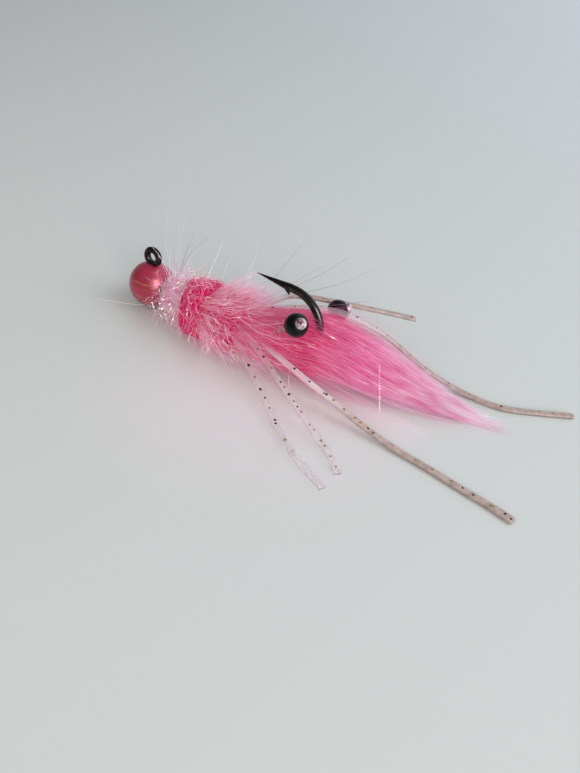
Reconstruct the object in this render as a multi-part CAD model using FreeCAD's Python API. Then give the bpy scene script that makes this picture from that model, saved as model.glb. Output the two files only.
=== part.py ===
"""Round-ball jig head dressed as a shrimp-pattern fly: every cast, bound and threaded piece is its own solid.

Millimetres. The origin is the centre of the line-tie eye. +X runs back along the hook shank to the tail,
+Y across the hook and +Z up to the hook point. The ball, the dubbing and the outer legs lie on the plane
z = FLOOR. Far is the +Y side and near the -Y side.
"""
import FreeCAD, Part
import math
import os
from FreeCAD import Vector as V

# Hook
WIRE_D = 0.9            # shank, bend and point
EYE_WIRE_D = 0.8        # the eye is turned from the thinner end of the wire
EYE_RING_D = 1.75       # across the middle of the eye's wire
EYE_BORE_R = 0.52       # land worn round inside the eye
EYE_HEIGHT = 3.62       # eye centre above the shank's axis
STEM_BEND_R = 1.3       # right-angle bend inside the ball
SHANK_LENGTH = 19.6     # stem to the start of the bend
BEND_R = 3.85           # half of the gape between wire centres
POINT_LENGTH = 4.95     # end of the bend to the tip
POINT_TAPER = 4.3       # ground part of the point
TIP_R = 0.03
FORGED_T = 0.76         # thickness of the flattened bend across the hook's plane
BARB_HEIGHT = 0.4
BARB_T = 0.3

# Head
BALL_D = 5.5
PAINT_T = 0.12
CEMENT_T = 0.1

# Bound pieces on the shank: where each starts and ends, and its outer radius
THREAD_R = 0.62
BASE_END = 18.4
COLLAR = (2.0, 3.7, 1.35)
FLASH_COLLAR = (3.7, 4.9, 1.9)
FRONT_DUBBING = (4.9, 9.8, 3.5)
FLASH_BAND = (9.8, 10.4, 2.7)
REAR_DUBBING = (10.4, 12.9, 3.5)
LEG_TIE = (12.9, 13.8, 3.0)
TAIL_TIE = (14.3, 15.2, 1.1)
EYE_TIE = (15.6, 16.5, 1.45)
NECK_R = 0.8            # tail butts bound round the shank
TIE_BORE_R = 0.86       # inside of the wraps over the tail's neck
HOOK_LANE_GAP = 0.03    # between the fur and the bend of the hook that it is carried round

# Tail
TAIL_PIVOT = (21.0, 1.5)
TAIL_SPLIT_R = 4.0
TAIL_GAP = 0.2          # between the bound and the free part of the tail
# (x, centre y, centre z, half width, half height) down the tail
TAIL_SECTIONS = (
    (14.2, 0.0, -3.62, NECK_R, NECK_R),
    (15.6, 0.0, -3.62, NECK_R, NECK_R),
    (16.9, 0.0, -3.66, 0.88, 0.88),
    (19.0, 0.5, -4.0, 1.6, 1.5),
    (22.0, 1.4, -4.25, 2.5, 1.9),
    (25.0, 2.7, -4.4, 2.7, 1.9),
    (30.0, 4.0, -4.75, 2.1, 1.55),
    (35.0, 5.2, -5.4, 1.4, 0.95),
    (40.5, 6.35, -6.1, 0.35, 0.24),
)

# Legs: flat silicone strip, lying on the floor or held off it by the dressing
LEG_W = 0.75
LEG_T = 0.45
LEG_GAP = 0.45          # between a free leg and its bound butt
LEG_ROOT_X = 14.25
LEG_ROUTES = {
    "leg_far_short": (
        (14.25, 1.8, -1.85), (15.3, 3.1, -0.6), (16.6, 4.6, 0.1), (18.6, 6.1, 0.1),
        (21.5, 7.95, -0.2), (25.3, 11.2, -1.0), (28.7, 14.35, -2.0),
    ),
    "leg_far_long": (
        (14.25, 0.85, -1.65), (15.8, 1.5, -0.8), (17.6, 1.8, 0.1), (19.6, 2.3, 0.9), (21.5, 3.2, 1.4),
        (23.4, 4.4, 1.45), (25.9, 5.2, 0.9), (28.3, 6.5, -0.6), (30.3, 7.6, -2.2), (33.2, 9.0, -4.4),
        (36.0, 10.1, -5.7), (38.9, 10.4, -6.1), (42.4, 10.8, -6.1), (45.4, 12.6, -6.1), (49.6, 15.6, -6.1),
    ),
    "leg_near_long": (
        (14.25, -0.8, -2.15), (17.2, -2.1, -2.35), (20.4, -2.95, -2.75), (23.5, -3.4, -3.3),
        (26.3, -3.55, -3.95), (29.3, -3.5, -4.8), (32.6, -3.7, -5.65), (36.6, -4.05, -6.05),
        (40.4, -4.25, -6.1), (44.0, -4.7, -6.1), (47.3, -4.95, -6.1), (50.0, -5.4, -6.1),
    ),
    "leg_near_mid": (
        (14.25, -1.75, -2.1), (16.7, -2.9, -2.5), (19.6, -4.15, -3.1), (22.7, -5.5, -4.0),
        (26.2, -6.8, -5.0), (29.8, -8.4, -5.85), (31.9, -9.6, -6.1), (33.6, -11.1, -6.1),
    ),
    "leg_near_low": (
        (14.25, -2.45, -3.2), (16.2, -3.7, -3.9), (18.8, -5.2, -4.7), (22.2, -7.3, -5.55),
        (25.2, -9.5, -6.0), (28.1, -11.4, -6.1), (30.8, -12.85, -6.1), (33.5, -13.9, -6.1),
    ),
}
BUTT_FRONT_X = 12.0     # the bound butts reach this far forward

# Stalked eyes: hinge point on the mono and centre of the bead
EYES = {
    "near": ((17.4, -0.8, -2.5), (22.28, -3.4, 2.37)),
    "far": ((17.4, 0.95, -2.7), (22.4, 5.9, 0.05)),
}
MONO_R = 0.35
MONO_GAP = 0.4
MONO_BOUND = ((15.3, 1.16), (16.5, 1.16))   # (x, distance beside the shank) of the bound mono
MONO_BOUND_Z = -3.3
BEAD_R = 1.3
BEAD_HALF_LENGTH = 1.0
BEAD_HOLE_R = 0.54
TIP_PLUG_R = 0.52
TIP_DOME_R = 0.64
STALK_CLEAR_L = 5.5
STALK_CLEAR_SLOPE = math.tan(math.radians(20))

SHANK_Z = -EYE_HEIGHT
FLOOR = SHANK_Z - BALL_D / 2
POINT_Z = SHANK_Z + 2 * BEND_R
FLOOR_SKIN = 0.02       # soft pieces stop this far above the floor
X, Y, Z = V(1, 0, 0), V(0, 1, 0), V(0, 0, 1)


def cylinder_x(start, end, radius):
    """A cylinder about the shank's axis."""
    return Part.makeCylinder(radius, end - start, V(start, 0, SHANK_Z), X)


def ball(radius):
    return Part.makeSphere(radius, V(0, 0, SHANK_Z))


def above_floor(shape):
    """The shape with everything below the floor cut flat."""
    slab = Part.makeBox(80, 60, 20, V(-10, -30, FLOOR + FLOOR_SKIN - 20))
    return shape.cut(slab)


def rounded_path(points, share=0.45):
    """Straight runs through the points, joined by tangent arcs. Returns the wire and the arcs' radii."""
    points = [V(*p) for p in points]
    edges, radii, here = [], [], points[0]
    for before, corner, after in zip(points, points[1:], points[2:]):
        back = (before - corner).normalize()
        ahead = (after - corner).normalize()
        turn = math.pi - back.getAngle(ahead)
        trim = share * min((before - corner).Length, (after - corner).Length)
        radii.append(trim / math.tan(turn / 2))
        start, end = corner + back * trim, corner + ahead * trim
        centre = corner + (back + ahead).normalize() * (radii[-1] / math.cos(turn / 2))
        middle = centre + (corner - centre).normalize() * radii[-1]
        edges += [Part.LineSegment(here, start).toShape(), Part.Arc(start, middle, end).toShape()]
        here = end
    edges.append(Part.LineSegment(here, points[-1]).toShape())
    return Part.Wire(edges), radii


def round_tube(points, radius):
    """A round rod along a rounded path."""
    path, _ = rounded_path(points)
    heading = V(*points[1]) - V(*points[0])
    profile = Part.Wire(Part.makeCircle(radius, V(*points[0]), heading))
    return path.makePipeShell([profile], True, True)


def strip(points, name):
    """A flat strip, wider than it is thick, along a rounded path, its flat side kept level."""
    path, radii = rounded_path(points)
    start, heading = V(*points[0]), V(*points[1]) - V(*points[0])
    side = Z.cross(heading).normalize()
    across, thick = side * (LEG_W / 2), Z * (LEG_T / 2)
    corners = [start + across + thick, start - across + thick, start - across - thick, start + across - thick]
    sweep = Part.BRepOffsetAPI.MakePipeShell(path)
    sweep.setBiNormalMode(Z)
    sweep.add(Part.makePolygon(corners + corners[:1]))
    sweep.build()
    sweep.makeSolid()
    filled = sweep.shape().Volume / (LEG_W * LEG_T * path.Length)
    print("%s: %.1f mm long, tightest bend radius %.1f mm" % (name, path.Length, min(radii)))
    print("   volume over section times length: %.3f" % filled)
    return sweep.shape()


def eye_ring():
    """The closed eye, its plane in the hook's plane, with a cylindrical land for the line."""
    ring = Part.makeTorus(EYE_RING_D / 2, EYE_WIRE_D / 2, V(0, 0, 0), Y)
    return ring.cut(Part.makeCylinder(EYE_BORE_R, 2 * EYE_WIRE_D, V(0, -EYE_WIRE_D, 0), Y))


def hook_wire():
    """Stem, shank and round bend swept as one wire, up to where the point's taper starts."""
    top = V(0, 0, -EYE_RING_D / 2 - 0.05)
    stem_end = V(0, 0, SHANK_Z + STEM_BEND_R)
    shank_start = V(STEM_BEND_R, 0, SHANK_Z)
    turn_middle = V(STEM_BEND_R * (1 - math.sqrt(0.5)), 0, SHANK_Z + STEM_BEND_R * (1 - math.sqrt(0.5)))
    bend_start, bend_end = V(SHANK_LENGTH, 0, SHANK_Z), V(SHANK_LENGTH, 0, POINT_Z)
    bend_middle = V(SHANK_LENGTH + BEND_R, 0, SHANK_Z + BEND_R)
    taper_start = V(SHANK_LENGTH - POINT_LENGTH + POINT_TAPER, 0, POINT_Z)
    path = Part.Wire([
        Part.LineSegment(top, stem_end).toShape(),
        Part.Arc(stem_end, turn_middle, shank_start).toShape(),
        Part.LineSegment(shank_start, bend_start).toShape(),
        Part.Arc(bend_start, bend_middle, bend_end).toShape(),
        Part.LineSegment(bend_end, taper_start).toShape(),
    ])
    profile = Part.Wire(Part.makeCircle(WIRE_D / 2, top, Z))
    return path.makePipeShell([profile], True, True)


def hook_point():
    """The ground point: a long needle taper."""
    tip_x = SHANK_LENGTH - POINT_LENGTH
    return Part.makeCone(TIP_R, WIRE_D / 2, POINT_TAPER, V(tip_x, 0, POINT_Z), X)


def barb():
    """A sliver raised on the inner side of the point, its free end towards the bend."""
    root_x = SHANK_LENGTH - POINT_LENGTH + 0.75 * POINT_TAPER
    under = POINT_Z - WIRE_D / 2
    outline = [V(root_x, -BARB_T / 2, POINT_Z), V(root_x + 1.15, -BARB_T / 2, under - BARB_HEIGHT),
               V(root_x + 1.05, -BARB_T / 2, POINT_Z)]
    return Part.Face(Part.makePolygon(outline + outline[:1])).extrude(Y * BARB_T)


def make_hook():
    """Eye, stem, shank, forged bend, barb and point: one bent wire."""
    wire = hook_wire().fuse([hook_point(), barb()])
    for side in (-1, 1):
        block = Part.makeBox(12, 1, 12, V(SHANK_LENGTH - 1.5, side * (FORGED_T / 2 + 0.5) - 0.5, SHANK_Z - 1))
        wire = wire.cut(block)
    return wire.fuse(eye_ring()).removeSplitter()


def make_head_core(hook):
    """The lead ball cast round the hook's right-angle bend."""
    return ball(BALL_D / 2 - PAINT_T).cut(hook)


def make_head_paint(hook):
    """The pearl paint coat over the ball."""
    return ball(BALL_D / 2).cut([ball(BALL_D / 2 - PAINT_T), hook])


def make_thread_base(hook):
    """Thread wound down the bare shank."""
    return cylinder_x(COLLAR[0], BASE_END, THREAD_R).cut([ball(BALL_D / 2), hook])


def cone_x(start, end, front_radius, rear_radius):
    return Part.makeCone(front_radius, rear_radius, end - start, V(start, 0, SHANK_Z), X)


def make_thread_collar():
    """The finishing wraps of thread against the back of the ball."""
    start, end, radius = COLLAR
    return cone_x(start, end, radius, 0.85 * radius).cut([ball(BALL_D / 2), cylinder_x(start, end, THREAD_R)])


def make_head_cement():
    """A clear coat over the thread collar."""
    start, end, radius = COLLAR
    outer = cone_x(start, end, radius + CEMENT_T, 0.85 * radius + CEMENT_T)
    return outer.cut([ball(BALL_D / 2), cone_x(start, end, radius, 0.85 * radius)])


def bound_ring(place, inner_radius, rounding=0.0):
    """A ring of thread, flash or dubbing wound round the shank."""
    start, end, radius = place
    ring = cylinder_x(start, end, radius)
    if rounding:
        rims = [e for e in ring.Edges if e.Curve.TypeId == "Part::GeomCircle"]
        ring = ring.makeFillet(rounding, rims)
    return above_floor(ring.cut(cylinder_x(start, end, inner_radius)))


def leg_butt(name):
    """The bound end of one leg, laid along the shank under the tie, short of the free leg by the gap."""
    _, y, z = LEG_ROUTES[name][0]
    length = LEG_ROOT_X - LEG_GAP - BUTT_FRONT_X
    return Part.makeBox(length, LEG_W, LEG_T, V(BUTT_FRONT_X, y - LEG_W / 2, z - LEG_T / 2))


def make_leg_butts(side):
    names = [n for n in LEG_ROUTES if n.startswith("leg_" + side)]
    return Part.makeCompound([leg_butt(n) for n in names])


def eye_axis(side):
    hinge, centre = (V(*p) for p in EYES[side])
    return hinge, centre, (centre - hinge).normalize()


def make_eye_mono_bound(side, hook, base):
    """The mono of one stalked eye where it is bound beside the shank, up to its hinge point."""
    hinge, _, along = eye_axis(side)
    sign = 1 if hinge.y > 0 else -1
    (x0, beside0), (x1, beside1) = MONO_BOUND
    end = hinge - along * (MONO_R + MONO_GAP)
    points = [(x0, sign * beside0, MONO_BOUND_Z), (x1, sign * beside1, MONO_BOUND_Z + 0.1), tuple(end)]
    return round_tube(points, MONO_R).cut([hook, base])


def make_eye_stalk(side):
    """The free mono stalk, round-ended at its hinge, up into the bead."""
    hinge, centre, along = eye_axis(side)
    length = (centre - hinge).Length + 0.3 * BEAD_HALF_LENGTH
    rod = Part.makeCylinder(MONO_R, length, hinge, along)
    return rod.fuse(Part.makeSphere(MONO_R, hinge)).removeSplitter()


def make_eye_bead(side):
    """A round glass bead with flattened ends, threaded on the stalk."""
    _, centre, along = eye_axis(side)
    base = centre - along * BEAD_HALF_LENGTH
    barrel = Part.makeCylinder(BEAD_R, 2 * BEAD_HALF_LENGTH, base, along)
    hole = Part.makeCylinder(BEAD_HOLE_R, 2 * BEAD_HALF_LENGTH, base, along)
    return Part.makeSphere(BEAD_R, centre).common(barrel).cut(hole)


def make_eye_tip(side, stalk):
    """The melted end of the mono: a plug in the bead's hole and a dome over its face."""
    _, centre, along = eye_axis(side)
    face = centre + along * BEAD_HALF_LENGTH
    plug_length = 1.8 * BEAD_HALF_LENGTH
    plug = Part.makeCylinder(TIP_PLUG_R, plug_length, face - along * plug_length, along)
    cap = Part.makeSphere(TIP_DOME_R, face).common(Part.makeCylinder(TIP_DOME_R, TIP_DOME_R, face, along))
    return plug.fuse(cap).cut(stalk).removeSplitter()


def oval(x, y, z, half_width, half_height, count=12):
    """A closed smooth outline in the plane at x."""
    turns = [2 * math.pi * i / count for i in range(count)]
    points = [V(x, y + half_width * math.cos(a), z + half_height * math.sin(a)) for a in turns]
    curve = Part.BSplineCurve()
    curve.interpolate(points, PeriodicFlag=True)
    return Part.Wire(curve.toShape())


def whole_tail():
    """The tail's outer shape, from its bound neck to the tip."""
    return above_floor(Part.makeLoft([oval(*s) for s in TAIL_SECTIONS], True))


def tail_rear_zone(radius):
    """Everything behind a vertical cylinder about the tail's pivot."""
    x, y = TAIL_PIVOT
    block = Part.makeBox(40, 40, 20, V(x, y - 20, FLOOR - 5))
    return block.cut(Part.makeCylinder(radius, 20, V(x, y, FLOOR - 5), Z))


def stalk_clearance(side):
    """The space that a stalk sweeps where it leaves the dressing."""
    hinge, _, along = eye_axis(side)
    start = hinge - along * (2 * MONO_R)
    radius = MONO_R + MONO_GAP
    return Part.makeCone(radius, radius + STALK_CLEAR_L * STALK_CLEAR_SLOPE, STALK_CLEAR_L, start, along)


def hook_lane():
    """The space that the whipped shank and the bend take inside the fur."""
    ring = Part.makeTorus(BEND_R, WIRE_D / 2 + HOOK_LANE_GAP, V(SHANK_LENGTH, 0, SHANK_Z + BEND_R), Y)
    behind_shank = Part.makeBox(2 * BEND_R, 4, 4 * BEND_R, V(SHANK_LENGTH, -2, SHANK_Z - BEND_R))
    return cylinder_x(TAIL_TIE[0] - 1, SHANK_LENGTH, THREAD_R).fuse(ring.common(behind_shank))


def make_tail_root(tail, mono):
    """Craft fur bound on the shank and carried round the hook's bend."""
    fur = tail.cut(tail_rear_zone(TAIL_SPLIT_R - TAIL_GAP / 2))
    fur = fur.cut([hook_lane(), stalk_clearance("near"), stalk_clearance("far")] + mono)
    return max(fur.Solids, key=lambda s: s.Volume)


def make_tail_fur(tail):
    """The free part of the tail, hollowed at the front round its pivot."""
    fur = tail.common(tail_rear_zone(TAIL_SPLIT_R + TAIL_GAP / 2))
    return max(fur.Solids, key=lambda s: s.Volume)


def make_parts():
    """Every node's name and shape."""
    hook = make_hook()
    base = make_thread_base(hook)
    butts = {side: make_leg_butts(side) for side in ("near", "far")}
    mono = {side: make_eye_mono_bound(side, hook, base) for side in EYES}
    tail = whole_tail()
    parts = {
        "hook": hook,
        "head_core": make_head_core(hook),
        "head_paint": make_head_paint(hook),
        "head_cement": make_head_cement(),
        "thread_base": base,
        "thread_collar": make_thread_collar(),
        "flash_collar": bound_ring(FLASH_COLLAR, THREAD_R, 0.5),
        "dubbing_front": bound_ring(FRONT_DUBBING, THREAD_R, 2.2),
        "flash_band": bound_ring(FLASH_BAND, THREAD_R),
        "dubbing_rear": bound_ring(REAR_DUBBING, THREAD_R, 1.1).cut(list(butts.values())),
        "leg_tie": bound_ring(LEG_TIE, THREAD_R).cut(list(butts.values())),
        "leg_butts_near": butts["near"],
        "leg_butts_far": butts["far"],
        "tail_tie": bound_ring(TAIL_TIE, TIE_BORE_R),
        "eye_tie": bound_ring(EYE_TIE, TIE_BORE_R).cut(list(mono.values())),
        "eye_mono_near": mono["near"],
        "eye_mono_far": mono["far"],
        "tail_root": make_tail_root(tail, list(mono.values())),
        "tail_fur": make_tail_fur(tail),
    }
    for name, route in LEG_ROUTES.items():
        parts[name] = strip(route, name)
    for side in EYES:
        stalk = make_eye_stalk(side)
        parts["eye_stalk_" + side] = stalk
        parts["eye_bead_" + side] = make_eye_bead(side)
        parts["eye_tip_" + side] = make_eye_tip(side, stalk)
    return parts


os.makedirs("parts", exist_ok=True)
for node, shape in make_parts().items():
    print("%-16s %2d solid(s) %8.3f mm3 valid=%s" % (node, len(shape.Solids), shape.Volume, shape.isValid()))
    shape.exportStep("parts/%s.step" % node)
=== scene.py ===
"""Looks of a round-ball jig head dressed as a shrimp-pattern fly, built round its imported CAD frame.

The frame's axes: the origin is the centre of the line-tie eye, +X runs back along the hook to the tail,
+Y is the far side and +Z is up to the hook point. Blender works in metres, and sizes that are easier to
read in millimetres are lists of millimetres times MM.
"""
import math
from typing import NamedTuple

import bpy
import numpy as np
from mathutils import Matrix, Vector


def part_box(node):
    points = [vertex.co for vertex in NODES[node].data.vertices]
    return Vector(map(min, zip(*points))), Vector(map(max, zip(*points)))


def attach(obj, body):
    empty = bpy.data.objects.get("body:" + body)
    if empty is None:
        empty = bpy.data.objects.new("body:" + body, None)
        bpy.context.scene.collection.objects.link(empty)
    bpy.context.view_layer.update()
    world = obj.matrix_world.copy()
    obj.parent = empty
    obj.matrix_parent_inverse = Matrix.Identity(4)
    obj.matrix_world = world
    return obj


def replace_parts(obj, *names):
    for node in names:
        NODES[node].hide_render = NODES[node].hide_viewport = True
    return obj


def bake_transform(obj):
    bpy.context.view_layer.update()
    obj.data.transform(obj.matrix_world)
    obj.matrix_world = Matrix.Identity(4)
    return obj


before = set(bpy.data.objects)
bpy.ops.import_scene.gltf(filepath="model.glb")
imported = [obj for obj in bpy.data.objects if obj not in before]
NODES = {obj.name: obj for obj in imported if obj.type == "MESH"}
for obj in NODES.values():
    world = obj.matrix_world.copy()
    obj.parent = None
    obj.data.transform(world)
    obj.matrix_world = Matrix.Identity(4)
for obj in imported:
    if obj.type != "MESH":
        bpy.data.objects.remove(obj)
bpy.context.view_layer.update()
MM = 0.001
FLOOR_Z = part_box("head_paint")[0].z
BASE_LOW, BASE_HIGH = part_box("thread_base")
SHANK_MM = (BASE_LOW.z + BASE_HIGH.z) / 2 / MM
FLOOR_MM = FLOOR_Z / MM
HOOK = "dressed_hook"
TURN = 2 * math.pi
CYCLE = 6.3         # about one whole wave in radians, for random phases

# The fluffed-up tail's sections: x, y, z of the middle, half width and half height, in millimetres
TAIL = (
    (13.8, 0.0, -3.4, 2.2, 2.2),
    (16.5, 0.1, -3.1, 2.5, 2.4),
    (19.0, 0.4, -2.6, 2.6, 2.9),
    (22.5, 0.7, -1.9, 2.4, 3.2),
    (25.5, 2.2, -2.2, 2.7, 2.4),
    (30.0, 3.9, -3.6, 2.4, 1.8),
    (35.0, 5.3, -4.95, 1.5, 1.0),
    (40.0, 6.4, -5.75, 0.75, 0.5),
    (45.0, 7.7, -6.1, 0.4, 0.25),
)

# The legs' routes in metres, as in the CAD but for leg_far_long's crest, which is up to 0.4 mm lower here
LEGS = {
    "leg_far_short": (
        (0.01425, 0.0018, -0.00185), (0.0153, 0.0031, -0.0006), (0.0166, 0.0046, 0.0001),
        (0.0186, 0.0061, 0.0001), (0.0215, 0.00795, -0.0002), (0.0253, 0.0112, -0.001),
        (0.0287, 0.01435, -0.002),
    ),
    "leg_far_long": (
        (0.01425, 0.00085, -0.00165), (0.0158, 0.0015, -0.0008), (0.0176, 0.0018, 0.0001),
        (0.0196, 0.0023, 0.0007), (0.0215, 0.0032, 0.001), (0.0234, 0.0044, 0.00105),
        (0.0259, 0.0052, 0.0006), (0.0283, 0.0065, -0.0006), (0.0303, 0.0076, -0.0022),
        (0.0332, 0.009, -0.0044), (0.036, 0.0101, -0.0057), (0.0389, 0.0104, -0.0061),
        (0.0424, 0.0108, -0.0061), (0.0454, 0.0126, -0.0061), (0.0496, 0.0156, -0.0061),
    ),
    "leg_near_long": (
        (0.01425, -0.0008, -0.00215), (0.0172, -0.0021, -0.00235), (0.0204, -0.00295, -0.00275),
        (0.0235, -0.0034, -0.0033), (0.0263, -0.00355, -0.00395), (0.0293, -0.0035, -0.0048),
        (0.0326, -0.0037, -0.00565), (0.0366, -0.00405, -0.00605), (0.0404, -0.00425, -0.0061),
        (0.044, -0.0047, -0.0061), (0.0473, -0.00495, -0.0061), (0.05, -0.0054, -0.0061),
    ),
    "leg_near_mid": (
        (0.01425, -0.00175, -0.0021), (0.0167, -0.0029, -0.0025), (0.0196, -0.00415, -0.0031),
        (0.0227, -0.0055, -0.004), (0.0262, -0.0068, -0.005), (0.0298, -0.0084, -0.00585),
        (0.0319, -0.0096, -0.0061), (0.0336, -0.0111, -0.0061),
    ),
    "leg_near_low": (
        (0.01425, -0.00245, -0.0032), (0.0162, -0.0037, -0.0039), (0.0188, -0.0052, -0.0047),
        (0.0222, -0.0073, -0.00555), (0.0252, -0.0095, -0.006), (0.0281, -0.0114, -0.0061),
        (0.0308, -0.01285, -0.0061), (0.0335, -0.0139, -0.0061),
    ),
}
LEG_WIDTH = 0.00075
LEG_THICKNESS = 0.00045
LEG_STEP = 0.25 * MM
LEG_ROUNDING = 0.6      # the power that rounds the strip's outline, from 0, a rectangle, to 1, an ellipse
LEG_GROOVE = 0.3        # depth of the groove in each face, as a share of half the thickness


# ---------------------------------------------------------------- shapes

STRAND_SIDES = 3
FLASH_THICKNESS_MM = 0.012
FLASH_TWIST = 1.5           # radians along a strand, times a random number


def through(points, t):
    """Places at t, from 0 to 1, on a smooth line through the points."""
    points = np.asarray(points, float)
    last = len(points) - 1
    at = np.clip(np.asarray(t, float) * last, 0, last - 1e-9)
    i = at.astype(int)
    f = (at - i)[..., None]
    held = np.concatenate([[2 * points[0] - points[1]], points, [2 * points[-1] - points[-2]]])
    a, b, c, d = (held[i + j] for j in range(4))
    return 0.5 * (2 * b + (c - a) * f + (2 * a - 5 * b + 4 * c - d) * f**2 + (3 * b - 3 * c + d - a) * f**3)


def unit(vectors):
    return vectors / np.maximum(np.linalg.norm(vectors, axis=-1, keepdims=True), 1e-12)


def frames(paths, up):
    """Unit sides and tops across paths shaped (tube, step, xyz); up is a direction that they keep to."""
    along = unit(np.gradient(paths, axis=1))
    side = unit(np.cross(np.broadcast_to(up, paths.shape), along))
    return side, np.cross(along, side)


def tubes(name, rings, attributes=None, smooth=True):
    """One mesh of closed tubes from rings shaped (tube, ring, corner, xyz), in metres."""
    n, k, s, _ = rings.shape
    index = np.arange(n * k * s).reshape(n, k, s)
    beside = np.roll(index, -1, axis=2)
    quads = np.stack([index[:, :-1], beside[:, :-1], beside[:, 1:], index[:, 1:]], axis=-1).reshape(-1, 4)
    ends = np.concatenate([index[:, 0, ::-1], index[:, -1]])
    corners = np.concatenate([quads.ravel(), ends.ravel()])
    sizes = np.concatenate([np.full(len(quads), 4), np.full(len(ends), s)])
    mesh = bpy.data.meshes.new(name)
    mesh.vertices.add(index.size)
    mesh.vertices.foreach_set("co", np.ascontiguousarray(rings, np.float32).ravel())
    mesh.loops.add(len(corners))
    mesh.loops.foreach_set("vertex_index", corners.astype(np.int32))
    mesh.polygons.add(len(sizes))
    mesh.polygons.foreach_set("loop_start", (np.cumsum(sizes) - sizes).astype(np.int32))
    mesh.polygons.foreach_set("loop_total", sizes.astype(np.int32))
    mesh.update(calc_edges=True)
    if smooth:
        mesh.shade_smooth()
    else:
        mesh.shade_flat()
    for attribute, values in (attributes or {}).items():
        layer = mesh.attributes.new(attribute, "FLOAT", "POINT")
        layer.data.foreach_set("value", np.repeat(np.asarray(values, np.float32).ravel(), s))
    made = bpy.data.objects.new(name, mesh)
    bpy.context.scene.collection.objects.link(made)
    return made


def fibres(name, rng, paths_mm, radius_mm, taper=0.75, reach=None):
    """Fine strands along paths in millimetres, each with a random tint and a place from root to tip."""
    paths = paths_mm * MM
    n, k, _ = paths.shape
    paths[..., 2] = np.maximum(paths[..., 2], FLOOR_Z + radius_mm * MM)
    side, top = frames(paths, unit(rng.normal(size=(n, 1, 3))))
    along = np.broadcast_to(np.linspace(0, 1, k), (n, k))
    thickness = radius_mm * MM * rng.uniform(0.7, 1.3, (n, 1)) * (1 - taper * along**2)
    along = along if reach is None else reach
    turn = np.arange(STRAND_SIDES) * TURN / STRAND_SIDES
    across = np.cos(turn)[:, None] * side[:, :, None] + np.sin(turn)[:, None] * top[:, :, None]
    rings = paths[:, :, None] + thickness[..., None, None] * across
    tint = np.broadcast_to(rng.uniform(0, 1, (n, 1)), (n, k))
    return tubes(name, rings, {"along": along, "tint": tint}, smooth=False)


def ribbons(name, rng, paths_mm, width_mm):
    """Thin flat strands of flash, twisting along paths in millimetres."""
    paths = paths_mm * MM
    n, k, _ = paths.shape
    paths[..., 2] = np.maximum(paths[..., 2], FLOOR_Z + width_mm * MM / 2)
    side, top = frames(paths, unit(rng.normal(size=(n, 1, 3))))
    along = np.broadcast_to(np.linspace(0, 1, k), (n, k))
    turn = (rng.uniform(0, CYCLE, (n, 1)) + FLASH_TWIST * rng.normal(size=(n, 1)) * along)[..., None]
    flat = np.cos(turn) * side + np.sin(turn) * top
    thin = np.cos(turn) * top - np.sin(turn) * side
    corners = ((1, 1), (-1, 1), (-1, -1), (1, -1))
    rings = np.stack([
        paths + MM / 2 * (a * width_mm * flat + b * FLASH_THICKNESS_MM * thin) for a, b in corners
    ], axis=2)
    tint = np.broadcast_to(rng.uniform(0, 1, (n, 1)), (n, k))
    return tubes(name, rings, {"along": along, "tint": tint})


def waves(rng, count, size_mm):
    """A smooth bumpy function of places in millimetres, about -1 to 1, with bumps of about that size."""
    heading = unit(rng.normal(size=(count, 3))) * TURN / size_mm * rng.uniform(0.6, 1.5, (count, 1))
    phase = rng.uniform(0, CYCLE, count)
    peak = 1.6      # how many spreads such a sum of sines mostly reaches
    return lambda places: np.sin(places @ heading.T + phase).sum(axis=-1) / math.sqrt(count / 2) / peak


def wiggle(rng, paths, amount, turns=1.5):
    """The paths with a gentle random wave in each, growing from its root."""
    n, k, _ = paths.shape
    s = np.linspace(0, 1, k)[None, :, None]
    phase = rng.uniform(0, CYCLE, (n, 1, 3))
    rate = turns * CYCLE * rng.uniform(0.5, 1.5, (n, 1, 3))
    size = amount * rng.normal(size=(n, 1, 3))
    return paths + size * s * np.sin(rate * s + phase)


# ---------------------------------------------------------------- materials

def rgb(red, green, blue):
    """A colour given as it is seen, 0 to 255, in the linear numbers that shaders take."""
    seen = [v / 255 for v in (red, green, blue)]
    return tuple(v / 12.92 if v <= 0.04045 else ((v + 0.055) / 1.055) ** 2.4 for v in seen) + (1.0,)


def material(name, **sockets):
    """A new Principled material, its node tree and its shader, with underscores for spaces in sockets."""
    made = bpy.data.materials.new(name)
    made.use_nodes = True
    shader = made.node_tree.nodes["Principled BSDF"]
    for socket, value in sockets.items():
        shader.inputs[socket.replace("_", " ")].default_value = value
    return made, made.node_tree, shader


def node(tree, kind, inputs=(), **settings):
    """A new node. inputs are pairs of a socket and a value or another node's output."""
    made = tree.nodes.new("ShaderNode" + kind)
    for name, value in settings.items():
        setattr(made, name, value)
    for socket, value in inputs:
        if isinstance(value, bpy.types.NodeSocket):
            tree.links.new(value, made.inputs[socket])
        else:
            made.inputs[socket].default_value = value
    return made


def ramp(tree, factor, *stops):
    """A colour that runs through stops, pairs of a place from 0 to 1 and a colour."""
    made = node(tree, "ValToRGB", [("Fac", factor)])
    elements = made.color_ramp.elements
    while len(elements) < len(stops):
        elements.new(0.5)
    for element, (place, colour) in zip(elements, stops):
        element.position = place
        element.color = colour
    return made.outputs["Color"]


def noise(tree, scale, detail=3.0, stretch=(1, 1, 1), roughness=0.5, kind="TexNoise"):
    """The value of a noise fixed to the object, scale in bumps per millimetre."""
    place = node(tree, "TexCoord").outputs["Object"]
    sized = node(tree, "Mapping", [("Vector", place), ("Scale", [scale / MM * v for v in stretch])])
    inputs = [("Vector", sized.outputs["Vector"]), ("Scale", 1.0)]
    if kind == "TexNoise":
        inputs += [("Detail", detail), ("Roughness", roughness)]
    return node(tree, kind, inputs).outputs["Fac" if kind == "TexNoise" else "Distance"]


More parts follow.
